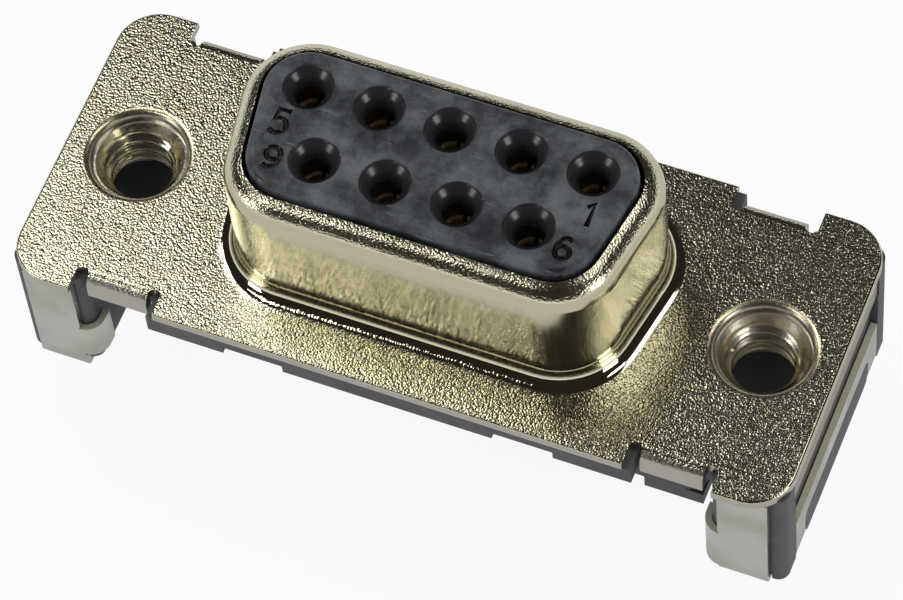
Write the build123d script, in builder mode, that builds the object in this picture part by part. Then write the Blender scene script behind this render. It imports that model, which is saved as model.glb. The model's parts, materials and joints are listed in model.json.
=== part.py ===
from build123d import *
from math import atan2, cos, degrees, radians, sin, tan
import os

# Nine-way D-sub socket for upright mounting on a board, all sizes in millimetres.
# Frame: the flange's front face is z = 0 and the mating direction is +Z, the long side is X,
# the wide side of the D faces +Y, and the origin lies midway between the two jack-screw holes.

# Contact grid
contact_pitch = 2.77
row_spacing = 2.84
wide_row = 5
narrow_row = 4

# Drawn shell
shell_sheet = 0.4
shell_height = 5.92
contact_to_shell_end = 2.625
contact_to_shell_side = 2.53
shell_side_angle = 10
shell_corner_radius = 2.6
rim_radius = 1.0
rim_width = 0.75
base_radius = 0.7

# Flange
shell_to_hole = 4.33
hole_to_flange_end = 2.905
flange_beside_shell = 2.3
flange_corner_radius = 1.7
flange_edge_radius = 0.12
flange_hole_d = 3.6
flange_hole_roll = 0.3

# Crimp tabs, four of them, each between two round-ended notches
tab_width = 2.42
tab_before_hole = 1.505
tab_set_back = 0.5
tab_drop = 1.08
tab_bend_radius = 0.15
notch_width = 0.5

# Front insulator
insulator_gap = 0.17
insulator_above_rim = 0.36
insulator_edge_radius = 0.3
insulator_foot_land = 0.35
insulator_foot_thickness = 0.6
entry_d = 1.15
entry_mouth_d = 2.0
entry_mouth_depth = 0.5
entry_length = 1.75

# Contacts
sleeve_d = 1.5
sleeve_bore_d = 1.04
sleeve_bore_depth = 4.2
sleeve_slit_width = 0.16
sleeve_slit_depth = 3.2
sleeve_lead_in = 0.14
collar_d = 1.9
collar_height = 0.9
tail_d = 0.7
tail_taper = 0.18
tail_below_board = 3.2

# Rear housing
seat_depth = 6.5
plate_thickness = 0.92
rail_inset = 0.05
rail_end_gap = 0.18
recess_behind_tab = 0.25
rail_notch_centre = 5.35
rail_notch_width = 2.4
rail_notch_height = 0.4
rail_notch_reach = 1.0
core_length = 18.0
core_width = 7.2
core_above_seat = 0.7
core_corner_radius = 0.8
foot_length = 2.35
foot_width = 1.2
boss_wall = 0.6
block_beside_tab = 0.2
block_behind_flange_edge = 0.3
block_behind_flange_end = 0.05
block_corner_radius = 0.45

# Threaded inserts
thread_d = 2.845
thread_mouth_d = 3.4
thread_mouth_depth = 0.4
insert_plate_thickness = 1.55
insert_plate_width = 9.2
insert_plate_in_block = 0.5
insert_plate_end_inset = 0.12
insert_hub_d = 4.1
insert_hub_below_plate = 0.55

# Ground brackets, folded from sheet
bracket_sheet = 0.25
bracket_bend_radius = 0.05
bracket_wall_width = 1.95
bracket_wall_to_end = 0.6
bracket_wall_top_gap = 0.06
end_wall_width = 9.0
end_wall_above_slot = 1.0
fold_slot_width = 7.0
fold_slot_height = 1.55
fold_slot_depth = 0.5
fold_slot_radius = 0.4
hook_top_above_seat = 2.85
short_hook_above_seat = 0.95
hook_reach = 1.15
hook_relief = 0.12
screw_hole_d = 3.2
eyelet_ring = 0.9

# Clearances, and how far off its height a face or edge may lie when it is picked
fit_gap = 0.05
contact_gap = 0.05
pick_slack = 0.001

# Shell and flange outlines that follow
shell_length = (wide_row - 1) * contact_pitch + 2 * contact_to_shell_end
shell_width = row_spacing + 2 * contact_to_shell_side
hole_x = shell_length / 2 + shell_to_hole
flange_end_x = hole_x + hole_to_flange_end
flange_edge_y = shell_width / 2 + flange_beside_shell

# Crimp tab places
tab_x = hole_x - tab_before_hole
tab_inner_x = tab_x - tab_width / 2
tab_outer_x = tab_x + tab_width / 2
tab_face_y = flange_edge_y - tab_set_back
tab_outer_bend = tab_bend_radius + shell_sheet
tab_bend_y = tab_face_y - tab_outer_bend

# Heights of the insulator and the contacts
insulator_inset = rim_width + insulator_gap
insulator_top = shell_height + insulator_above_rim
insulator_foot_outset = base_radius + insulator_foot_land
foot_bottom = -shell_sheet - insulator_foot_thickness
entry_angle = 2 * degrees(atan2(entry_mouth_d - entry_d, 2 * entry_mouth_depth))
sleeve_top = insulator_top - entry_length
collar_bottom = foot_bottom - collar_height
seat_z = -seat_depth
tail_bottom = seat_z - tail_below_board

# Housing places
plate_bottom = -shell_sheet - plate_thickness
core_bottom = seat_z + core_above_seat
core_end_x = core_length / 2 + foot_length
recess_inner_x = tab_inner_x - rail_end_gap
recess_y = tab_face_y - shell_sheet - recess_behind_tab
block_outer_x = flange_end_x - block_behind_flange_end
block_outer_y = flange_edge_y - block_behind_flange_edge
block_inner_x = tab_outer_x + block_beside_tab
block_end_x = block_outer_x - bracket_sheet - fit_gap
block_face_y = block_outer_y - bracket_sheet - fit_gap
block_bottom = seat_z + bracket_sheet + fit_gap

# Bracket places, on the middle of the sheet where they end in _mid
wall_outer_x = block_outer_x - bracket_wall_to_end
wall_inner_x = wall_outer_x - bracket_wall_width
wall_top = -shell_sheet - bracket_wall_top_gap
wall_mid_y = block_outer_y - bracket_sheet / 2
end_wall_mid_x = block_outer_x - bracket_sheet / 2
bottom_mid_z = seat_z + bracket_sheet / 2
fold_mid_radius = bracket_bend_radius + bracket_sheet / 2
end_wall_top = seat_z + fold_slot_height + end_wall_above_slot
hook_mid_radius = block_corner_radius + fit_gap + bracket_sheet / 2
hook_mid_x = block_inner_x - fit_gap - bracket_sheet / 2
hook_start_x = hook_mid_x + hook_mid_radius
hook_top = seat_z + hook_top_above_seat
short_hook_bottom = seat_z + short_hook_above_seat
long_hook_bottom = seat_z + bracket_bend_radius + bracket_sheet

# Insert places
hub_bottom = -shell_sheet - insert_plate_thickness - insert_hub_below_plate
mouth_angle = 2 * degrees(atan2(thread_mouth_d - thread_d, 2 * thread_mouth_depth))
insert_plate_start_x = block_inner_x + insert_plate_in_block
insert_plate_end_x = flange_end_x - insert_plate_end_inset
insert_plate_length = insert_plate_end_x - insert_plate_start_x

contact_places = []
for column in range(wide_row):
    contact_places.append(((wide_row - 1) * contact_pitch / 2 - column * contact_pitch, row_spacing / 2))
for column in range(narrow_row):
    contact_places.append(((narrow_row - 1) * contact_pitch / 2 - column * contact_pitch, -row_spacing / 2))

hole_places = [(-hole_x, 0), (hole_x, 0)]


# The D outline at a height, drawn in from the shell's outer wall by inset
def d_outline(height, inset):
    side = radians(shell_side_angle)
    radius = shell_corner_radius
    wide_half = shell_length / 2 - radius + radius * cos(side) + radius * (1 + sin(side)) * tan(side)
    narrow_half = wide_half - shell_width * tan(side)
    with BuildSketch(Plane.XY.offset(height)) as outline:
        with BuildLine():
            Polyline(
                (-wide_half, shell_width / 2),
                (wide_half, shell_width / 2),
                (narrow_half, -shell_width / 2),
                (-narrow_half, -shell_width / 2),
                close=True,
            )
        make_face()
        fillet(outline.vertices(), radius)
        if inset != 0:
            offset(amount=-inset, mode=Mode.REPLACE)
    return outline.sketch


# The edges round the openings of the widest level face at a height
def opening_edges(part, height):
    level_faces = part.faces().filter_by(Axis.Z)
    level = level_faces.filter_by_position(Axis.Z, height - pick_slack, height + pick_slack)
    return ShapeList(edge for wire in level.sort_by(SortBy.AREA)[-1].inner_wires() for edge in wire.edges())


# Front shell: flange, crimp tabs, drawn D and rolled holes in one sheet
with BuildPart() as front_shell:
    with BuildSketch():
        RectangleRounded(2 * flange_end_x, 2 * flange_edge_y, flange_corner_radius)
        with GridLocations(2 * tab_x, 2 * flange_edge_y, 2, 2):
            Rectangle(tab_width, 2 * (flange_edge_y - tab_bend_y), mode=Mode.SUBTRACT)
            with GridLocations(tab_width + notch_width, 0, 2, 1):
                Rectangle(notch_width, 2 * (flange_edge_y - tab_bend_y) - notch_width, mode=Mode.SUBTRACT)
        with GridLocations(2 * tab_x, 2 * tab_bend_y + notch_width, 2, 2):
            with GridLocations(tab_width + notch_width, 0, 2, 1):
                Circle(notch_width / 2, mode=Mode.SUBTRACT)
    extrude(amount=-shell_sheet)

    # The rounded edge that stamping leaves on the flange's outline
    outline_edges = front_shell.faces().sort_by(Axis.Z)[-1].outer_wire().edges()
    stamped_edges = outline_edges.filter_by(
        lambda edge: abs(edge.center().X) > tab_outer_x + notch_width + pick_slack
        or (abs(edge.center().X) < tab_inner_x and abs(edge.center().Y) > flange_edge_y - pick_slack)
    )
    fillet(stamped_edges, flange_edge_radius)

    # One tab bent down through a right angle, then its three mirror images
    with BuildSketch(Plane.YZ.offset(tab_inner_x)):
        with BuildLine():
            top_start = (-tab_bend_y, 0)
            bend_centre_z = -tab_outer_bend
            Line((-tab_bend_y, -shell_sheet), top_start)
            outer_bend = RadiusArc(top_start, (-tab_face_y, bend_centre_z), -tab_outer_bend)
            Line(outer_bend @ 1, (-tab_face_y, -tab_drop))
            Line((-tab_face_y, -tab_drop), (-tab_face_y + shell_sheet, -tab_drop))
            inner_start = (-tab_face_y + shell_sheet, bend_centre_z)
            Line((-tab_face_y + shell_sheet, -tab_drop), inner_start)
            RadiusArc(inner_start, (-tab_bend_y, -shell_sheet), tab_bend_radius)
        make_face()
    extrude(amount=tab_width)
    mirror(about=Plane.XZ)
    mirror(about=Plane.YZ)

    # The drawn D, rounded where it leaves the flange and at its rim
    extrude(d_outline(0, 0), amount=shell_height)
    fillet(opening_edges(front_shell, 0), base_radius)
    fillet(front_shell.faces().sort_by(Axis.Z)[-1].edges(), rim_radius)

    # Its hollow inside follows one sheet thickness within, and the rim is left as a lip
    extrude(d_outline(-shell_sheet, shell_sheet), amount=shell_height, mode=Mode.SUBTRACT)
    fillet(opening_edges(front_shell, -shell_sheet), base_radius + shell_sheet)
    hollow_top = shell_height - shell_sheet
    hollow_ceiling = front_shell.faces().filter_by(Axis.Z).filter_by_position(
        Axis.Z, hollow_top - pick_slack, hollow_top + pick_slack
    )
    fillet(hollow_ceiling.edges(), rim_radius - shell_sheet)
    extrude(d_outline(0, rim_width), amount=shell_height, mode=Mode.SUBTRACT)

    # Jack-screw holes with their edges rolled in
    with Locations(*hole_places):
        Hole(flange_hole_d / 2)
    level_edges = front_shell.edges().filter_by_position(Axis.Z, -pick_slack, pick_slack)
    hole_edges = level_edges.filter_by(GeomType.CIRCLE).filter_by(
        lambda edge: abs(edge.radius - flange_hole_d / 2) < pick_slack
    )
    fillet(hole_edges, flange_hole_roll)
front_shell.part.label = "front_shell"


# Front insulator: the D block with its contact cavities, held by a foot behind the shell
with BuildPart() as front_insulator:
    extrude(d_outline(-shell_sheet, insulator_inset), amount=insulator_top + shell_sheet)
    fillet(front_insulator.faces().sort_by(Axis.Z)[-1].edges(), insulator_edge_radius)
    extrude(d_outline(-shell_sheet, -insulator_foot_outset), amount=-insulator_foot_thickness)
    with Locations(*[(x, y, insulator_top) for x, y in contact_places]):
        CounterSinkHole(entry_d / 2, entry_mouth_d / 2, counter_sink_angle=entry_angle)
    with BuildSketch(Plane.XY.offset(foot_bottom)):
        with Locations(*contact_places):
            Circle(sleeve_d / 2 + contact_gap)
    extrude(amount=sleeve_top + contact_gap - foot_bottom, mode=Mode.SUBTRACT)
front_insulator.part.label = "front_insulator"


# Socket contact: split sleeve, retaining collar and solder tail on one axis
def socket_contact(x, y):
    with BuildPart() as contact:
        with BuildSketch(Plane((x, y, 0), x_dir=(1, 0, 0), z_dir=(0, -1, 0))):
            with BuildLine():
                Polyline(
                    (0, tail_bottom),
                    (tail_d / 2 - tail_taper, tail_bottom),
                    (tail_d / 2, tail_bottom + 2 * tail_taper),
                    (tail_d / 2, collar_bottom),
                    (collar_d / 2, collar_bottom),
                    (collar_d / 2, foot_bottom),
                    (sleeve_d / 2, foot_bottom),
                    (sleeve_d / 2, sleeve_top),
                    (sleeve_bore_d / 2 + sleeve_lead_in, sleeve_top),
                    (sleeve_bore_d / 2, sleeve_top - sleeve_lead_in),
                    (sleeve_bore_d / 2, sleeve_top - sleeve_bore_depth),
                    (0, sleeve_top - sleeve_bore_depth - sleeve_bore_d / 4),
                    close=True,
                )
            make_face()
        revolve(axis=Axis((x, y, 0), (0, 0, 1)))
        with Locations((x, y, sleeve_top - sleeve_slit_depth / 2)):
            Box(sleeve_slit_width, 2 * sleeve_d, sleeve_slit_depth, mode=Mode.SUBTRACT)
    return contact.part


# Rear housing: plate with rails, core for the contacts, and a block at each end
with BuildPart() as rear_housing:
    with BuildSketch(Plane.XY.offset(-shell_sheet)):
        Rectangle(2 * block_inner_x, 2 * (flange_edge_y - rail_inset))
        with GridLocations(recess_inner_x + block_inner_x, 2 * (flange_edge_y - rail_inset), 2, 2):
            Rectangle(
                block_inner_x - recess_inner_x,
                2 * (flange_edge_y - rail_inset - recess_y),
                mode=Mode.SUBTRACT,
            )
    extrude(amount=-plate_thickness)

    # Two shallow notches in the underside of each rail
    with GridLocations(2 * rail_notch_centre, 2 * (flange_edge_y - rail_inset), 2, 2):
        with Locations((0, 0, plate_bottom)):
            Box(rail_notch_width, 2 * rail_notch_reach, 2 * rail_notch_height, mode=Mode.SUBTRACT)

    # The core that the contact tails pass through, on four stand-off feet
    with BuildSketch(Plane.XY.offset(plate_bottom)):
        RectangleRounded(2 * core_end_x, core_width, core_corner_radius)
    extrude(amount=core_bottom - plate_bottom)
    with BuildSketch(Plane.XY.offset(core_bottom)):
        with GridLocations(core_length + foot_length, core_width - foot_width, 2, 2):
            Rectangle(foot_length, foot_width)
    extrude(amount=seat_z - core_bottom)

    # End blocks, which reach the board at their outer corners, each with a boss round the insert
    with BuildSketch(Plane.XY.offset(-shell_sheet)):
        with GridLocations(block_inner_x + block_outer_x, 0, 2, 1):
            RectangleRounded(block_outer_x - block_inner_x, 2 * block_face_y, block_corner_radius)
    extrude(amount=seat_z + shell_sheet)
    with BuildSketch(Plane.XY.offset(-shell_sheet)):
        with Locations(*hole_places):
            Circle(insert_hub_d / 2 + boss_wall)
    extrude(amount=block_bottom + shell_sheet)

    # Room for the ground brackets under the blocks and up their outer ends
    with BuildSketch(Plane.XY.offset(seat_z)):
        with GridLocations(block_inner_x + wall_outer_x + fit_gap, 0, 2, 1):
            Rectangle(wall_outer_x + fit_gap - block_inner_x, 2 * block_face_y)
        with GridLocations(block_inner_x + block_outer_x, 0, 2, 1):
            Rectangle(block_outer_x - block_inner_x, end_wall_width + 2 * fit_gap)
    extrude(amount=block_bottom - seat_z, mode=Mode.SUBTRACT)
    with BuildSketch(Plane.XY.offset(seat_z)):
        with GridLocations(block_end_x + block_outer_x, 0, 2, 1):
            Rectangle(block_outer_x - block_end_x, end_wall_width + 2 * fit_gap)
    extrude(amount=-shell_sheet - seat_z, mode=Mode.SUBTRACT)

    # Lugs that fill the slots in the brackets' folds
    for side in (-1, 1):
        with BuildSketch(Plane.YZ.offset(side * block_outer_x)) as lug_outline:
            with Locations((0, seat_z)):
                Rectangle(
                    fold_slot_width - 2 * fit_gap,
                    fold_slot_height - fit_gap,
                    align=(Align.CENTER, Align.MIN),
                )
            fillet(lug_outline.vertices().group_by(Axis.Z)[-1], fold_slot_radius - fit_gap)
        extrude(amount=-side * (bracket_sheet + fold_slot_depth - fit_gap))

    # Seats for the insulator's foot, the insert plates and the hubs
    # and room for the screw ends, the contact collars and the tails
    extrude(
        d_outline(-shell_sheet, -insulator_foot_outset - fit_gap),
        amount=-insulator_foot_thickness,
        mode=Mode.SUBTRACT,
    )
    with BuildSketch(Plane.XY.offset(-shell_sheet)):
        with GridLocations(2 * block_outer_x, 0, 2, 1):
            Rectangle(
                2 * (block_outer_x - insert_plate_start_x + fit_gap),
                insert_plate_width + 2 * fit_gap,
            )
    extrude(amount=-insert_plate_thickness, mode=Mode.SUBTRACT)
    with BuildSketch(Plane.XY.offset(-shell_sheet)):
        with Locations(*hole_places):
            Circle(insert_hub_d / 2 + fit_gap)
    extrude(amount=hub_bottom + shell_sheet, mode=Mode.SUBTRACT)
    with Locations(*hole_places):
        Hole(screw_hole_d / 2)
    with BuildSketch(Plane.XY.offset(foot_bottom)):
        with Locations(*contact_places):
            Circle(collar_d / 2 + contact_gap)
    extrude(amount=-collar_height, mode=Mode.SUBTRACT)
    with Locations(*contact_places):
        Hole(tail_d / 2 + contact_gap)
rear_housing.part.label = "rear_housing"


# Threaded insert: a plate under the flange with a short hub below it
with BuildPart() as threaded_insert_right:
    with BuildSketch(Plane.XY.offset(-shell_sheet)):
        with Locations((insert_plate_start_x + insert_plate_length / 2, 0)):
            Rectangle(insert_plate_length, insert_plate_width)
    extrude(amount=-insert_plate_thickness)
    with BuildSketch(Plane.XY.offset(-shell_sheet)):
        with Locations((hole_x, 0)):
            Circle(insert_hub_d / 2)
    extrude(amount=hub_bottom + shell_sheet)
    with Locations((hole_x, 0, -shell_sheet)):
        CounterSinkHole(thread_d / 2, thread_mouth_d / 2, counter_sink_angle=mouth_angle)
threaded_insert_right.part.label = "threaded_insert_right"

with BuildPart() as threaded_insert_left:
    mirror(threaded_insert_right.part, about=Plane.YZ)
threaded_insert_left.part.label = "threaded_insert_left"


# Ground bracket: one folded sheet under and round the end block
with BuildPart() as ground_bracket_right:
    with BuildSketch(Plane.YZ.offset(wall_inner_x)):
        with BuildLine():
            FilletPolyline(
                (-wall_mid_y, wall_top),
                (-wall_mid_y, bottom_mid_z),
                (wall_mid_y, bottom_mid_z),
                (wall_mid_y, wall_top),
                radius=fold_mid_radius,
            )
        trace(line_width=bracket_sheet)
    extrude(amount=bracket_wall_width)

    # Eyelet below the insert, pierced once the end wall's strip is there
    with BuildSketch(Plane.XY.offset(seat_z)):
        with Locations((hole_x, 0)):
            Circle(screw_hole_d / 2 + eyelet_ring)
    extrude(amount=bracket_sheet)

    # End wall, folded up from the bottom, with a relief slot through the fold
    with BuildSketch(Plane.XZ):
        with BuildLine():
            FilletPolyline(
                (wall_inner_x, bottom_mid_z),
                (end_wall_mid_x, bottom_mid_z),
                (end_wall_mid_x, end_wall_top),
                radius=fold_mid_radius,
            )
        trace(line_width=bracket_sheet)
    extrude(amount=end_wall_width / 2, both=True)
    with Locations((hole_x, 0)):
        Hole(screw_hole_d / 2)
    with BuildSketch(Plane.YZ.offset(block_outer_x - bracket_sheet - fold_slot_depth)):
        with Locations((0, seat_z)):
            RectangleRounded(fold_slot_width, 2 * fold_slot_height, fold_slot_radius)
    extrude(amount=2 * fold_slot_depth + bracket_sheet, mode=Mode.SUBTRACT)

    # Hooks that curl round the block's inner corners, the front one long and the back one short
    for side, hook_bottom in ((-1, long_hook_bottom), (1, short_hook_bottom)):
        hook_height = hook_top - hook_bottom
        with Locations((wall_inner_x, side * wall_mid_y, hook_bottom + hook_height / 2)):
            Box(
                2 * (hook_start_x - wall_inner_x),
                2 * bracket_sheet,
                hook_height + 2 * hook_relief,
                mode=Mode.SUBTRACT,
            )
        with BuildSketch(Plane.XY.offset(hook_bottom)):
            with BuildLine():
                FilletPolyline(
                    (wall_outer_x - bracket_wall_width / 2, side * wall_mid_y),
                    (hook_mid_x, side * wall_mid_y),
                    (hook_mid_x, side * (block_outer_y - hook_reach)),
                    radius=hook_mid_radius,
                )
            trace(line_width=bracket_sheet)
        extrude(amount=hook_height)
ground_bracket_right.part.label = "ground_bracket_right"

# The other bracket is the same piece turned half round
with BuildPart() as ground_bracket_left:
    add(ground_bracket_right.part, rotation=(0, 0, 180))
ground_bracket_left.part.label = "ground_bracket_left"


os.makedirs("parts", exist_ok=True)
export_step(front_shell.part, "parts/front_shell.step")
export_step(front_insulator.part, "parts/front_insulator.step")
export_step(rear_housing.part, "parts/rear_housing.step")
export_step(threaded_insert_left.part, "parts/threaded_insert_left.step")
export_step(threaded_insert_right.part, "parts/threaded_insert_right.step")
export_step(ground_bracket_left.part, "parts/ground_bracket_left.step")
export_step(ground_bracket_right.part, "parts/ground_bracket_right.step")
for number, (x, y) in enumerate(contact_places, start=1):
    contact = socket_contact(x, y)
    contact.label = f"contact_{number}"
    export_step(contact, f"parts/contact_{number}.step")
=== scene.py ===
import json
import math

import bmesh
import bpy
from mathutils import Matrix, Vector

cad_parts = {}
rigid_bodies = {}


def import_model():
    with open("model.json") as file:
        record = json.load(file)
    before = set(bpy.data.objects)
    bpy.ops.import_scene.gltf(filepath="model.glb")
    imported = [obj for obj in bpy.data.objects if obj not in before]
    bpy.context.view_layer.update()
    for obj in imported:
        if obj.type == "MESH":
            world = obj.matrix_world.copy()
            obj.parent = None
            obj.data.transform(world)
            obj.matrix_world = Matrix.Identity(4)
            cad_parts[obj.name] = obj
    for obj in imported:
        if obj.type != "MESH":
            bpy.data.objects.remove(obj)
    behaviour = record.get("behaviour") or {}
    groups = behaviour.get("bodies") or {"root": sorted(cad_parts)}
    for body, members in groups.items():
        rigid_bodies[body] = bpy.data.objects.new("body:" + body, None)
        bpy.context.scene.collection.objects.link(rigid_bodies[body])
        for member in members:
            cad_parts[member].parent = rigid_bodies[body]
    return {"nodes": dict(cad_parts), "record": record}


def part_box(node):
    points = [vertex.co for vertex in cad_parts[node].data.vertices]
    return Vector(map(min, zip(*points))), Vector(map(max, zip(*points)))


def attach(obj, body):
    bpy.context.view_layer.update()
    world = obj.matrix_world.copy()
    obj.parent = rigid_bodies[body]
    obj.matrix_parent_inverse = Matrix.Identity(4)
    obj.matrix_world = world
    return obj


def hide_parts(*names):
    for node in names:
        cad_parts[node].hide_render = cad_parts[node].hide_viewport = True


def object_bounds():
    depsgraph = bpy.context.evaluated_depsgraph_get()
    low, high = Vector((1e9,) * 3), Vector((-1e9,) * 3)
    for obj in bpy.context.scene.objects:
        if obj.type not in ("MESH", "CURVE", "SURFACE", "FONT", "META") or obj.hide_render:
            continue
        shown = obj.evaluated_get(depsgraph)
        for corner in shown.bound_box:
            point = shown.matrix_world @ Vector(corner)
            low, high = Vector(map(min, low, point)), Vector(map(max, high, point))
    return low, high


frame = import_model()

mm = 0.001
nodes = frame["nodes"]
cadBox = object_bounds()  # the CAD model's box, before any piece is added
mounts = {mount["name"]: mount for mount in frame["record"]["mounts"]}
screwX = mounts["jackscrews"]["dims"]["spacing_x_mm"] / 2 * mm
threadRadius = mounts["jackscrews"]["dims"]["hole_r_mm"] * mm
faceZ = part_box("front_insulator")[1].z  # front face of the insulator
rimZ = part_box("front_shell")[1].z  # top of the drawn rim
print("frame loaded:", len(nodes), "nodes")


# Small helpers for shader trees
def place(tree, kind, inputs=None, **settings):
    node = tree.nodes.new("ShaderNode" + kind)
    for name, value in settings.items():
        setattr(node, name, value)
    for name, value in (inputs or {}).items():
        if isinstance(value, bpy.types.NodeSocket):
            tree.links.new(value, node.inputs[name])
        else:
            node.inputs[name].default_value = value
    return node


def calc(tree, operation, first, second=0.0):
    return place(tree, "Math", {0: first, 1: second}, operation=operation).outputs[0]


def ramp(tree, value, low, high, start=0.0, end=1.0):
    inputs = {"Value": value, "From Min": low, "From Max": high, "To Min": start, "To Max": end}
    return place(tree, "MapRange", inputs, interpolation_type="SMOOTHSTEP").outputs[0]


def blendColour(tree, amount, first, second):
    return place(tree, "Mix", {0: amount, 6: first, 7: second}, data_type="RGBA").outputs[2]


def noise(tree, vector, scale, detail=2.0, roughness=0.5):
    inputs = {"Vector": vector, "Scale": scale, "Detail": detail, "Roughness": roughness}
    return place(tree, "TexNoise", inputs).outputs[0]


def newGroup(name, inputs, outputs):
    group = bpy.data.node_groups.new(name, "ShaderNodeTree")
    for label, kind in inputs:
        group.interface.new_socket(label, in_out="INPUT", socket_type="NodeSocket" + kind)
    for label in outputs:
        group.interface.new_socket(label, in_out="OUTPUT", socket_type="NodeSocketFloat")
    return group, group.nodes.new("NodeGroupInput"), group.nodes.new("NodeGroupOutput")


# Crystals in a plated sheet: height of the domed grains, and a slower drift in tone
grainPattern = {
    "swellDetail": 1.0,
    "driftScale": 0.04,
    "driftDetail": 3.0,
    "driftRange": (0.35, 0.65),
}


def makePlatingGrain():
    pattern = grainPattern
    group, source, sink = newGroup(
        "plating grain", (("Vector", "Vector"), ("Scale", "Float")), ("Height", "Drift")
    )
    vector, scale = source.outputs["Vector"], source.outputs["Scale"]
    cells = place(group, "TexVoronoi", {"Vector": vector, "Scale": scale})
    domes = calc(group, "MULTIPLY", cells.outputs["Distance"], cells.outputs["Distance"])
    swell = noise(group, vector, scale, pattern["swellDetail"])
    group.links.new(calc(group, "SUBTRACT", swell, domes), sink.inputs["Height"])
    slow = calc(group, "MULTIPLY", scale, pattern["driftScale"])
    group.links.new(noise(group, vector, slow, pattern["driftDetail"]), sink.inputs["Drift"])
    return group


# Moulded plastic: a fine skin, and pale mottling with short scuffs
skinPattern = {
    "detail": 3.0,
    "roughness": 0.6,
    "mottleScale": 0.05,
    "mottleDetail": 6.0,
    "mottleRoughness": 0.72,
    "scuffTurn": (0, 0, 0.6),
    "scuffStretch": (0.12, 1.0, 1.0),
    "scuffScale": 0.6,
    "scuffDetail": 2.0,
    "scuffRoughness": 0.6,
    "scuffRange": (0.62, 0.74),
}


def makeMouldedSkin():
    pattern = skinPattern
    group, source, sink = newGroup(
        "moulded skin", (("Vector", "Vector"), ("Scale", "Float")), ("Height", "Mottle", "Scuffs")
    )
    vector, scale = source.outputs["Vector"], source.outputs["Scale"]
    fine = noise(group, vector, scale, pattern["detail"], pattern["roughness"])
    group.links.new(fine, sink.inputs["Height"])
    broad = calc(group, "MULTIPLY", scale, pattern["mottleScale"])
    mottle = noise(group, vector, broad, pattern["mottleDetail"], pattern["mottleRoughness"])
    group.links.new(mottle, sink.inputs["Mottle"])
    turned = place(
        group, "Mapping",
        {"Vector": vector, "Rotation": pattern["scuffTurn"], "Scale": pattern["scuffStretch"]},
    )
    scuffScale = calc(group, "MULTIPLY", scale, pattern["scuffScale"])
    streaks = noise(group, turned.outputs[0], scuffScale, pattern["scuffDetail"], pattern["scuffRoughness"])
    group.links.new(ramp(group, streaks, *pattern["scuffRange"]), sink.inputs["Scuffs"])
    return group


platingGrain = makePlatingGrain()
mouldedSkin = makeMouldedSkin()


def newMaterial(name):
    material = bpy.data.materials.new(name)
    material.use_nodes = True
    tree = material.node_tree
    tree.nodes.clear()
    surface = place(tree, "BsdfPrincipled")
    place(tree, "OutputMaterial", {"Surface": surface.outputs[0]})
    coords = place(tree, "TexCoord")
    return material, tree, surface, coords


def useGroup(tree, group, coords, scale):
    node = place(tree, "Group")
    node.node_tree = group
    tree.links.new(coords.outputs["Object"], node.inputs["Vector"])
    node.inputs["Scale"].default_value = scale
    return node


def feed(tree, surface, colour, roughness, height, distance):
    tree.links.new(colour, surface.inputs["Base Color"])
    tree.links.new(roughness, surface.inputs["Roughness"])
    bump = place(tree, "Bump", {"Height": height, "Distance": distance, "Strength": 1.0})
    tree.links.new(bump.outputs[0], surface.inputs["Normal"])


# How far a point lies from the axis of the nearer screw hole
def fromScrew(tree, coords):
    spot = place(tree, "SeparateXYZ", {0: coords.outputs["Object"]})
    along = calc(tree, "SUBTRACT", calc(tree, "ABSOLUTE", spot.outputs["X"]), screwX)
    reach = place(tree, "CombineXYZ", {0: along, 1: spot.outputs["Y"]}).outputs[0]
    return place(tree, "VectorMath", {0: reach}, operation="LENGTH").outputs["Value"]


# Shell: frosted nickel on the flange, tabs and rim, burnished where the die drew the sheet
shellFinish = {
    "grainScale": 11500,
    "grainHeight": 0.0092 * mm,
    "frosted": (0.78, 0.745, 0.56, 1),
    "frostedDark": (0.66, 0.625, 0.45, 1),
    "drawn": (0.66, 0.625, 0.45, 1),
    "frostedRoughness": 0.18,
    "drawnRoughness": 0.13,
    "rimRange": (0.4 * rimZ, 0.5 * rimZ),
    "tabRange": (5.0 * mm, 5.1 * mm),
    "endRange": (0.08, 0.2),
    "frontFrost": (0.93, 0.995),
    "endFrost": (0.985, 0.999),
    "bentFrost": (0.45, 0.7),
    "filletRoughness": 0.05,
    "filletRange": (0.75 * mm, 1.05 * mm),
    "wornGrain": 0.42,
    "wornRange": (0.6, 0.85),
    "drawnGrain": 0.02,
    "lineStretch": (1, 1, 0.08),
    "lineScale": 6000,
    "lineRange": (0.3, 0.7),
    "lineDepth": 0.03,
    "edge": (0.52, 0.5, 0.44, 1),
    "edgeRoughness": 0.32,
    "edgeRange": (-0.1 * mm, -0.05 * mm),
    "lipRange": (2.06 * mm, 2.12 * mm),
    "lip": (0.8, 0.72, 0.48, 1),
    "lipRoughness": 0.27,
}


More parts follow.
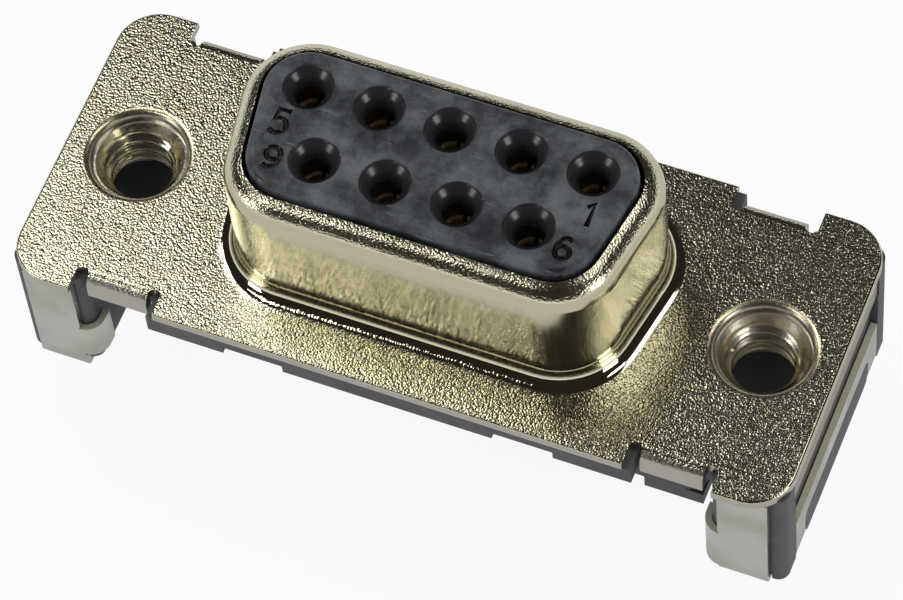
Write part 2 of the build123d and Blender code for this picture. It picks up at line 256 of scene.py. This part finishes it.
def makeShellNickel():
    finish = shellFinish
    material, tree, surface, coords = newMaterial("shellNickel")
    grain = useGroup(tree, platingGrain, coords, finish["grainScale"])
    turn = place(tree, "SeparateXYZ", {0: coords.outputs["Normal"]})
    facing = turn.outputs["Z"]
    spot = place(tree, "SeparateXYZ", {0: coords.outputs["Object"]})
    # The rim and the tab bends stay frosted further round than the flange does
    onRim = ramp(tree, spot.outputs["Z"], *finish["rimRange"])
    onTab = ramp(tree, calc(tree, "ABSOLUTE", spot.outputs["Y"]), *finish["tabRange"])
    bent = calc(tree, "MAXIMUM", onRim, onTab)
    # Frost fades on the lower base fillet along the D's long sides, and sooner at its ends
    ends = ramp(tree, calc(tree, "ABSOLUTE", turn.outputs["X"]), *finish["endRange"])
    frostFrom = ramp(tree, ends, 0, 1, finish["frontFrost"][0], finish["endFrost"][0])
    frostTo = ramp(tree, ends, 0, 1, finish["frontFrost"][1], finish["endFrost"][1])
    flat = calc(tree, "MULTIPLY", ramp(tree, facing, frostFrom, frostTo), calc(tree, "SUBTRACT", 1.0, bent))
    onBends = calc(tree, "MULTIPLY", ramp(tree, facing, *finish["bentFrost"]), bent)
    level = calc(tree, "MAXIMUM", flat, onBends)
    clear = ramp(tree, fromScrew(tree, coords), *finish["lipRange"])
    frosted = calc(tree, "MULTIPLY", level, clear)
    drift = ramp(tree, grain.outputs["Drift"], *grainPattern["driftRange"])
    tone = blendColour(tree, drift, finish["frostedDark"], finish["frosted"])
    colour = blendColour(tree, clear, finish["lip"], blendColour(tree, frosted, finish["drawn"], tone))
    # Worn grain still glints on the fillet along the D's long sides
    sides = calc(tree, "SUBTRACT", 1.0, calc(tree, "MAXIMUM", ends, bent))
    worn = calc(tree, "MULTIPLY", sides, ramp(tree, facing, *finish["wornRange"], 0.0, finish["wornGrain"]))
    depth = calc(tree, "MAXIMUM", ramp(tree, frosted, 0, 1, finish["drawnGrain"], 1.0), worn)
    height = calc(tree, "MULTIPLY", grain.outputs["Height"], depth)
    # The die polishes the base fillet brighter than the wall above it, and the hole lips are satin
    low = ramp(tree, spot.outputs["Z"], *finish["filletRange"], 1.0, 0.0)
    burnished = calc(tree, "MULTIPLY", low, clear)
    drawn = ramp(tree, burnished, 0, 1, finish["drawnRoughness"], finish["filletRoughness"])
    roughness = ramp(tree, frosted, 0, 1, drawn, finish["frostedRoughness"])
    roughness = ramp(tree, clear, 0, 1, finish["lipRoughness"], roughness)
    # Drawing lines run up the wall
    stretched = place(tree, "Mapping", {"Vector": coords.outputs["Object"], "Scale": finish["lineStretch"]})
    lines = noise(tree, stretched.outputs[0], finish["lineScale"])
    streak = ramp(tree, lines, *finish["lineRange"], -finish["lineDepth"], finish["lineDepth"])
    roughness = calc(tree, "ADD", roughness, streak)
    # Sheared edges and tab faces are duller
    sheared = ramp(tree, spot.outputs["Z"], *finish["edgeRange"], 1.0, 0.0)
    colour = blendColour(tree, sheared, colour, finish["edge"])
    roughness = ramp(tree, sheared, 0, 1, roughness, finish["edgeRoughness"])
    feed(tree, surface, colour, roughness, height, finish["grainHeight"])
    surface.inputs["Metallic"].default_value = 1.0
    return material


# Insulator: blue-charcoal moulding, dull on its face and glossy down the entries
insulatorFinish = {
    "skinScale": 9000,
    "skinHeight": 0.012 * mm,
    "face": (0.02, 0.023, 0.028, 1),
    "pale": (0.112, 0.122, 0.132, 1),
    "mottleRange": (0.37, 0.66),
    "entryShade": (0.021, 0.021, 0.024, 1),
    "number": (0.004, 0.004, 0.005, 1),
    "faceRoughness": 0.5,
    "entryRoughness": 0.25,
    "entrySkin": 0.15,
    "sunkRange": (faceZ - 0.05 * mm, faceZ - 0.01 * mm),
    "sideY": (2.8 * mm, 2.9 * mm),
    "sideX": (6.4 * mm, 6.5 * mm),
    "sideSlope": 0.176,
    "numberX": (5.16 * mm, 5.19 * mm),
    "numberHead": (0.41 * mm, 0.44 * mm),
    "numberFoot": (-2.5 * mm, -2.47 * mm),
}


def makeInsulatorMoulding():
    finish = insulatorFinish
    material, tree, surface, coords = newMaterial("insulatorMoulding")
    skin = useGroup(tree, mouldedSkin, coords, finish["skinScale"])
    spot = place(tree, "SeparateXYZ", {0: coords.outputs["Object"]})
    aside = calc(tree, "ABSOLUTE", spot.outputs["X"])
    below = ramp(tree, spot.outputs["Z"], *finish["sunkRange"], 1.0, 0.0)
    # The block's outer sides keep the colour of its face
    across = calc(tree, "ABSOLUTE", spot.outputs["Y"])
    lean = calc(tree, "MULTIPLY", spot.outputs["Y"], finish["sideSlope"])
    along = calc(tree, "SUBTRACT", aside, lean)
    within = calc(
        tree, "MULTIPLY",
        ramp(tree, across, *finish["sideY"], 1.0, 0.0),
        ramp(tree, along, *finish["sideX"], 1.0, 0.0),
    )
    sunk = calc(tree, "MULTIPLY", below, within)
    mottle = ramp(tree, skin.outputs["Mottle"], *finish["mottleRange"])
    scuffed = calc(tree, "MAXIMUM", mottle, skin.outputs["Scuffs"])
    face = blendColour(tree, scuffed, finish["face"], finish["pale"])
    # Below the face, the entries, countersinks and number grooves take the plain dark moulding without the
    # pale mottle, darkened further as painted shade in these recesses
    colour = blendColour(tree, sunk, face, finish["entryShade"])
    # The sunk numbers, which stand outside the entries, are painted near black: painted shade in their
    # grooves
    outboard = ramp(tree, aside, *finish["numberX"])
    underHead = ramp(tree, spot.outputs["Y"], *finish["numberHead"], 1.0, 0.0)
    overFoot = ramp(tree, spot.outputs["Y"], *finish["numberFoot"])
    banded = calc(tree, "MULTIPLY", underHead, overFoot)
    numbered = calc(tree, "MULTIPLY", sunk, calc(tree, "MULTIPLY", outboard, banded))
    colour = blendColour(tree, numbered, colour, finish["number"])
    roughness = ramp(tree, sunk, 0, 1, finish["faceRoughness"], finish["entryRoughness"])
    relief = calc(tree, "MULTIPLY", skin.outputs["Height"], ramp(tree, sunk, 0, 1, 1.0, finish["entrySkin"]))
    feed(tree, surface, colour, roughness, relief, finish["skinHeight"])
    return material


# Rear housing: matt dark grey with a faint violet cast
housingFinish = {
    "skinScale": 7000,
    "skinHeight": 0.012 * mm,
    "dark": (0.058, 0.056, 0.063, 1),
    "pale": (0.088, 0.085, 0.093, 1),
    "mottleRange": (0.3, 0.7),
    "boreShade": (0.008, 0.008, 0.008, 1),
    "boreRange": (1.75 * mm, 1.8 * mm),
    "roughness": 0.55,
    "scuffRoughness": 0.43,
    "specular": 0.5,
    "boreSpecular": 0.06,
}


def makeHousingMoulding():
    finish = housingFinish
    material, tree, surface, coords = newMaterial("housingMoulding")
    skin = useGroup(tree, mouldedSkin, coords, finish["skinScale"])
    mottle = ramp(tree, skin.outputs["Mottle"], *finish["mottleRange"])
    plain = blendColour(tree, mottle, finish["dark"], finish["pale"])
    # Down the screw holes the moulding is painted near black, a painted shade in the bores, with weaker
    # specular there
    inBore = ramp(tree, fromScrew(tree, coords), *finish["boreRange"], 1.0, 0.0)
    colour = blendColour(tree, inBore, plain, finish["boreShade"])
    roughness = ramp(tree, skin.outputs["Scuffs"], 0, 1, finish["roughness"], finish["scuffRoughness"])
    feed(tree, surface, colour, roughness, skin.outputs["Height"], finish["skinHeight"])
    shine = ramp(tree, inBore, 0, 1, finish["specular"], finish["boreSpecular"])
    tree.links.new(shine, surface.inputs["Specular IOR Level"])
    return material


# Plain plated metals: one maker for the brackets, the inserts and the contacts
platedFinishes = {
    "bracketTin": {
        "scale": 9000,
        "height": 0.006 * mm,
        "dark": (0.48, 0.48, 0.43, 1),
        "pale": (0.58, 0.58, 0.53, 1),
        "smooth": 0.22,
        "rough": 0.36,
        "metallic": 1.0,
        "top": (0.62, 0.60, 0.46, 1),
        "topRange": (0.7, 0.9),
        "topMetallic": 0.3,
    },
    "insertNickel": {
        "scale": 5000,
        "height": 0.004 * mm,
        "dark": (0.74, 0.69, 0.54, 1),
        "pale": (0.86, 0.82, 0.68, 1),
        "smooth": 0.16,
        "rough": 0.32,
        "metallic": 1.0,
        "edge": (0.40, 0.37, 0.30, 1),
        "edgeRange": (2.3 * mm, 2.4 * mm),
        "edgeRoughness": 0.45,
    },
    "contactGold": {
        "scale": 5000,
        "height": 0.002 * mm,
        "dark": (0.68, 0.45, 0.18, 1),
        "pale": (0.8, 0.58, 0.29, 1),
        "smooth": 0.35,
        "rough": 0.5,
        "metallic": 0.8,
    },
}


def makePlatedMetal(name):
    finish = platedFinishes[name]
    material, tree, surface, coords = newMaterial(name)
    grain = useGroup(tree, platingGrain, coords, finish["scale"])
    drift = ramp(tree, grain.outputs["Drift"], *grainPattern["driftRange"])
    colour = blendColour(tree, drift, finish["dark"], finish["pale"])
    roughness = ramp(tree, drift, 0, 1, finish["rough"], finish["smooth"])
    if "edge" in finish:
        # The sheared outline of the plate is duller than the mouth and the bore
        outside = ramp(tree, fromScrew(tree, coords), *finish["edgeRange"])
        colour = blendColour(tree, outside, colour, finish["edge"])
        roughness = ramp(tree, outside, 0, 1, roughness, finish["edgeRoughness"])
    surface.inputs["Metallic"].default_value = finish["metallic"]
    if "top" in finish:
        # The sheared edges that face up show bare metal and are painted paler and yellower: a painted
        # highlight for the light they catch
        facing = place(tree, "SeparateXYZ", {0: coords.outputs["Normal"]}).outputs["Z"]
        sheared = ramp(tree, facing, *finish["topRange"])
        colour = blendColour(tree, sheared, colour, finish["top"])
        plated = ramp(tree, sheared, 0, 1, finish["metallic"], finish["topMetallic"])
        tree.links.new(plated, surface.inputs["Metallic"])
    feed(tree, surface, colour, roughness, grain.outputs["Height"], finish["height"])
    return material


materials = {
    "shell_nickel": makeShellNickel(),
    "insulator_plastic": makeInsulatorMoulding(),
    "housing_plastic": makeHousingMoulding(),
    "bracket_tin": makePlatedMetal("bracketTin"),
    "insert_nickel": makePlatedMetal("insertNickel"),
    "contact_gold": makePlatedMetal("contactGold"),
}
for subpart in frame["record"]["subparts"]:
    mesh = nodes[subpart["node"]].data
    mesh.materials.clear()
    mesh.materials.append(materials[subpart["material_slot"]])
print("finishes on", len(materials), "slots")


def addPiece(name, mesh, slotName):
    piece = bpy.data.objects.new(name, mesh)
    bpy.context.scene.collection.objects.link(piece)
    mesh.materials.clear()
    mesh.materials.append(materials[slotName])
    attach(piece, "root")
    return piece


def smoothShade(mesh, angle):
    mesh.shade_smooth()
    mesh.set_sharp_from_angle(angle=math.radians(angle))


# Thread in each insert: one ridge wound up the bore
thread = {
    "pitch": 0.635 * mm,
    "height": 0.27 * mm,
    "base": 0.6 * mm,
    "profileSteps": 8,
    "top": -0.85 * mm,
    "turns": 2.5,
    "stepsPerTurn": 48,
    "sunk": 0.01 * mm,
    "smoothAngle": 60,
}


def makeThread(name, centreX):
    root = threadRadius + thread["sunk"]
    bottom = thread["top"] - thread["pitch"] * thread["turns"]
    outline = []
    for step in range(thread["profileSteps"] + 1):
        part = 2 * step / thread["profileSteps"] - 1
        rise = (thread["height"] + thread["sunk"]) * math.cos(part * math.pi / 2) ** 2
        outline.append((root - rise, part * thread["base"] / 2))
    bm = bmesh.new()
    corners = [bm.verts.new((radius, 0, bottom + z)) for radius, z in outline]
    sides = [bm.edges.new((corners[i], corners[(i + 1) % len(corners)])) for i in range(len(corners))]
    steps = round(thread["turns"] * thread["stepsPerTurn"])
    bmesh.ops.spin(bm, geom=corners + sides, cent=(0, 0, 0), axis=(0, 0, 1),
                   dvec=(0, 0, thread["pitch"] / thread["stepsPerTurn"]),
                   angle=2 * math.pi * thread["turns"], steps=steps, use_duplicate=False)
    bmesh.ops.holes_fill(bm, edges=bm.edges, sides=len(corners))
    bmesh.ops.translate(bm, verts=bm.verts, vec=(centreX, 0, 0))
    bmesh.ops.recalc_face_normals(bm, faces=bm.faces)
    mesh = bpy.data.meshes.new(name)
    bm.to_mesh(mesh)
    bm.free()
    smoothShade(mesh, thread["smoothAngle"])
    addPiece(name, mesh, "insert_nickel")


makeThread("thread_left", -screwX)
makeThread("thread_right", screwX)
print("threads wound")


# Insulator face with the contact numbers sunk into it as half-round grooves
numbers = {
    "height": 1.0 * mm,
    "strokeRadius": 0.11 * mm,
    "strokeSteps": 3,
    "weld": 0.0005 * mm,
    "smoothAngle": 30,
    "marks": (("5", -5.95, -0.30), ("9", -5.67, -1.82), ("1", 6.05, -0.26), ("6", 5.66, -1.83)),
    "strokes": {
        "1": (((-0.2, 0.27), (0.03, 0.5), (0.03, -0.5)),),
        "5": (
            ((0.26, 0.5), (-0.2, 0.5), (-0.25, 0.06), (-0.1, 0.14), (0.06, 0.14), (0.2, 0.06), (0.28, -0.1),
             (0.27, -0.27), (0.17, -0.42), (0.02, -0.5), (-0.14, -0.49), (-0.28, -0.4)),
        ),
    },
    "bowl": {"centre": (0, -0.2), "radii": (0.27, 0.26), "steps": 20},
    "tail": ((-0.27, -0.18), (-0.29, 0.0), (-0.25, 0.18), (-0.16, 0.33), (-0.02, 0.41), (0.12, 0.4),
             (0.23, 0.33)),
}


def strokesOf(text):
    if text in numbers["strokes"]:
        return [(points, False) for points in numbers["strokes"][text]]
    turn = 1 if text == "6" else -1  # a nine is a six turned half round
    bowl = numbers["bowl"]
    ring = []
    for step in range(bowl["steps"]):
        angle = 2 * math.pi * step / bowl["steps"]
        ring.append((bowl["centre"][0] + bowl["radii"][0] * math.cos(angle),
                     bowl["centre"][1] + bowl["radii"][1] * math.sin(angle)))
    return [([(turn * x, turn * y) for x, y in points], closed)
            for points, closed in ((ring, True), (numbers["tail"], False))]


# A mesh as the object shows it, with its modifiers applied
def bakedMesh(shape):
    return bpy.data.meshes.new_from_object(shape.evaluated_get(bpy.context.evaluated_depsgraph_get()))


def makeStroke(points, closed, x, y):
    curve = bpy.data.curves.new("stroke", "CURVE")
    curve.dimensions = "3D"
    curve.bevel_depth = numbers["strokeRadius"]
    curve.bevel_resolution = numbers["strokeSteps"]
    curve.use_fill_caps = True
    spline = curve.splines.new("POLY")
    spline.points.add(len(points) - 1)
    spline.use_cyclic_u = closed
    size = numbers["height"]
    for point, (px, py) in zip(spline.points, points):
        point.co = (x * mm + px * size, y * mm + py * size, faceZ, 1)
    shape = bpy.data.objects.new("stroke", curve)
    bpy.context.scene.collection.objects.link(shape)
    mesh = bakedMesh(shape)
    bpy.data.objects.remove(shape)
    return mesh


# Large flat faces set the shading, so the long slivers beside the grooves don't show
def evenNormals(mesh):
    holder = bpy.data.objects.new("holder", mesh)
    bpy.context.scene.collection.objects.link(holder)
    holder.modifiers.new("even", "WEIGHTED_NORMAL").keep_sharp = True
    even = bakedMesh(holder)
    bpy.data.objects.remove(holder)
    return even


def makeNumberedFace():
    cutters = bpy.data.collections.new("strokes")
    bpy.context.scene.collection.children.link(cutters)
    for text, x, y in numbers["marks"]:
        for points, closed in strokesOf(text):
            cutters.objects.link(bpy.data.objects.new("stroke", makeStroke(points, closed, x, y)))
    bm = bmesh.new()
    bm.from_mesh(nodes["front_insulator"].data)
    bmesh.ops.remove_doubles(bm, verts=bm.verts, dist=numbers["weld"])
    body = bpy.data.meshes.new("numberedBlank")
    bm.to_mesh(body)
    bm.free()
    blank = bpy.data.objects.new("numberedBlank", body)
    bpy.context.scene.collection.objects.link(blank)
    cut = blank.modifiers.new("sink numbers", "BOOLEAN")
    cut.operand_type = "COLLECTION"
    cut.collection = cutters
    cut.operation = "DIFFERENCE"
    cut.solver = "EXACT"
    mesh = bakedMesh(blank)
    bpy.data.objects.remove(blank)
    for stroke in list(cutters.objects):
        bpy.data.objects.remove(stroke)
    bpy.data.collections.remove(cutters)
    mesh.name = "numbered_insulator"
    smoothShade(mesh, numbers["smoothAngle"])
    mesh = evenNormals(mesh)
    piece = addPiece("numbered_insulator", mesh, "insulator_plastic")
    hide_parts("front_insulator")
    return len(mesh.vertices)


print("numbers sunk:", makeNumberedFace(), "points")


# Studio: white table under a dark room, four softboxes overhead and one low on each side of the camera
studio = {
    "floorSize": 3.0,
    "floorPaper": (0.92, 0.92, 0.92, 1),
    "floorGlow": 0.9,
    "floorInMetal": 0.66,
    "worldForDiffuse": 0.5,
    "roomRadius": 0.8,
    "roomFrom": 0.03,
    "roomSegments": (48, 24),
    "roomColour": (0.022, 0.022, 0.02, 1),
}
# Lamps, with places and sizes in millimetres
lamps = (
    {"name": "overBackLeft", "at": (-109, 42, 172), "towards": (-109, 42, 0),
     "size": (112, 64), "radiance": 3.6},
    {"name": "overFrontLeft", "at": (-101, -91, 172), "towards": (-101, -91, 0),
     "size": (86, 40), "radiance": 4.9},
    {"name": "overBackRight", "at": (70, 68, 172), "towards": (70, 68, 0),
     "size": (78, 42), "radiance": 2.7},
    {"name": "overRight", "at": (113, 18, 172), "towards": (113, 18, 0),
     "size": (40, 46), "radiance": 4.5},
    {"name": "lowRight", "at": (372, -66, 130), "towards": (0, 0, 0),
     "size": (125, 125), "radiance": 6.0},
    {"name": "lowLeft", "at": (-274, -264, 124), "towards": (0, 0, 0),
     "size": (110, 110), "radiance": 6.0},
)


def aim(back):
    return back.to_track_quat("Z", "Y").to_matrix().to_4x4()


def seenDirectly(tree):
    path = place(tree, "LightPath")
    either = calc(tree, "MAXIMUM", path.outputs["Is Camera Ray"], path.outputs["Is Glossy Ray"])
    return calc(tree, "MAXIMUM", either, path.outputs["Is Transmission Ray"])


def addStage(name, mesh, material):
    mesh.materials.append(material)
    prop = bpy.data.objects.new(name, mesh)
    bpy.context.scene.collection.objects.link(prop)
    return prop


def makeFloor():
    bm = bmesh.new()
    bmesh.ops.create_grid(bm, x_segments=1, y_segments=1, size=studio["floorSize"] / 2)
    bmesh.ops.translate(bm, verts=bm.verts, vec=(0, 0, cadBox[0].z))
    mesh = bpy.data.meshes.new("floor")
    bm.to_mesh(mesh)
    bm.free()
    material = bpy.data.materials.new("floorWhite")
    material.use_nodes = True
    tree = material.node_tree
    tree.nodes.clear()
    paper = place(tree, "BsdfDiffuse", {"Color": studio["floorPaper"]})
    inMetal = place(tree, "LightPath").outputs["Is Glossy Ray"]
    strength = ramp(tree, inMetal, 0, 1, 1.0, studio["floorInMetal"])
    glow = place(tree, "Emission", {"Color": (1, 1, 1, 1), "Strength": strength})
    share = calc(tree, "MULTIPLY", seenDirectly(tree), studio["floorGlow"])
    mixed = place(tree, "MixShader", {0: share, 1: paper.outputs[0], 2: glow.outputs[0]})
    place(tree, "OutputMaterial", {"Surface": mixed.outputs[0]})
    addStage("floor", mesh, material)


def makeRoom():
    around, upwards = studio["roomSegments"]
    bm = bmesh.new()
    bmesh.ops.create_uvsphere(bm, u_segments=around, v_segments=upwards, radius=studio["roomRadius"])
    below = [vert for vert in bm.verts if vert.co.z < studio["roomFrom"]]
    bmesh.ops.delete(bm, geom=below, context="VERTS")
    mesh = bpy.data.meshes.new("darkRoom")
    bm.to_mesh(mesh)
    bm.free()
    material = bpy.data.materials.new("darkRoom")
    material.use_nodes = True
    surface = material.node_tree.nodes["Principled BSDF"]
    surface.inputs["Base Color"].default_value = (0, 0, 0, 1)
    surface.inputs["Specular IOR Level"].default_value = 0.0
    surface.inputs["Emission Color"].default_value = studio["roomColour"]
    surface.inputs["Emission Strength"].default_value = 1.0
    room = addStage("darkRoom", mesh, material)
    room.visible_camera = False
    room.visible_diffuse = False
    room.visible_shadow = False


def makeLamp(lamp):
    light = bpy.data.lights.new(lamp["name"], "AREA")
    light.shape = "RECTANGLE"
    light.size = lamp["size"][0] * mm
    light.size_y = lamp["size"][1] * mm
    light.energy = lamp["radiance"] * math.pi * light.size * light.size_y
    spot = Vector(lamp["at"]) * mm
    back = spot - Vector(lamp["towards"]) * mm
    holder = bpy.data.objects.new(lamp["name"], light)
    holder.matrix_world = Matrix.Translation(spot) @ aim(back)
    bpy.context.scene.collection.objects.link(holder)
    holder.visible_camera = False


def makeWorld():
    world = bpy.data.worlds.new("studio")
    bpy.context.scene.world = world
    world.use_nodes = True
    tree = world.node_tree
    tree.nodes.clear()
    strength = ramp(tree, seenDirectly(tree), 0, 1, studio["worldForDiffuse"], 1.0)
    sky = place(tree, "Background", {"Color": (1, 1, 1, 1), "Strength": strength})
    place(tree, "OutputWorld", {"Surface": sky.outputs[0]})


makeFloor()
makeWorld()
makeRoom()
for lamp in lamps:
    makeLamp(lamp)

# Camera where the photograph was taken from
view = {
    "azimuth": 27.694,
    "elevation": 59.732,
    "roll": -7.035,
    "distance": 180.74 * mm,
    "target": (0.973 * mm, -1.933 * mm, 0),
    "focalPixels": 4901.142,
    "framePixels": 903,
    "sensorWidth": 36,
    "clipStart": 1 * mm,
    "clipEnd": 10,
}


def makeCamera():
    around, above, tilt = (math.radians(view[key]) for key in ("azimuth", "elevation", "roll"))
    back = Vector((math.sin(around) * math.cos(above), -math.cos(around) * math.cos(above), math.sin(above)))
    level = Vector((math.cos(around), math.sin(around), 0))
    upright = Matrix((level, back.cross(level), back)).transposed().to_4x4()
    turned = upright @ Matrix.Rotation(tilt, 4, "Z")
    data = bpy.data.cameras.new("camera")
    data.sensor_width = view["sensorWidth"]
    data.lens = view["focalPixels"] / view["framePixels"] * data.sensor_width
    data.clip_start = view["clipStart"]
    data.clip_end = view["clipEnd"]
    camera = bpy.data.objects.new("camera", data)
    camera.matrix_world = Matrix.Translation(Vector(view["target"]) + back * view["distance"]) @ turned
    bpy.context.scene.collection.objects.link(camera)
    bpy.context.scene.camera = camera


makeCamera()
bpy.context.scene.view_settings.view_transform = "Standard"
print("studio ready")
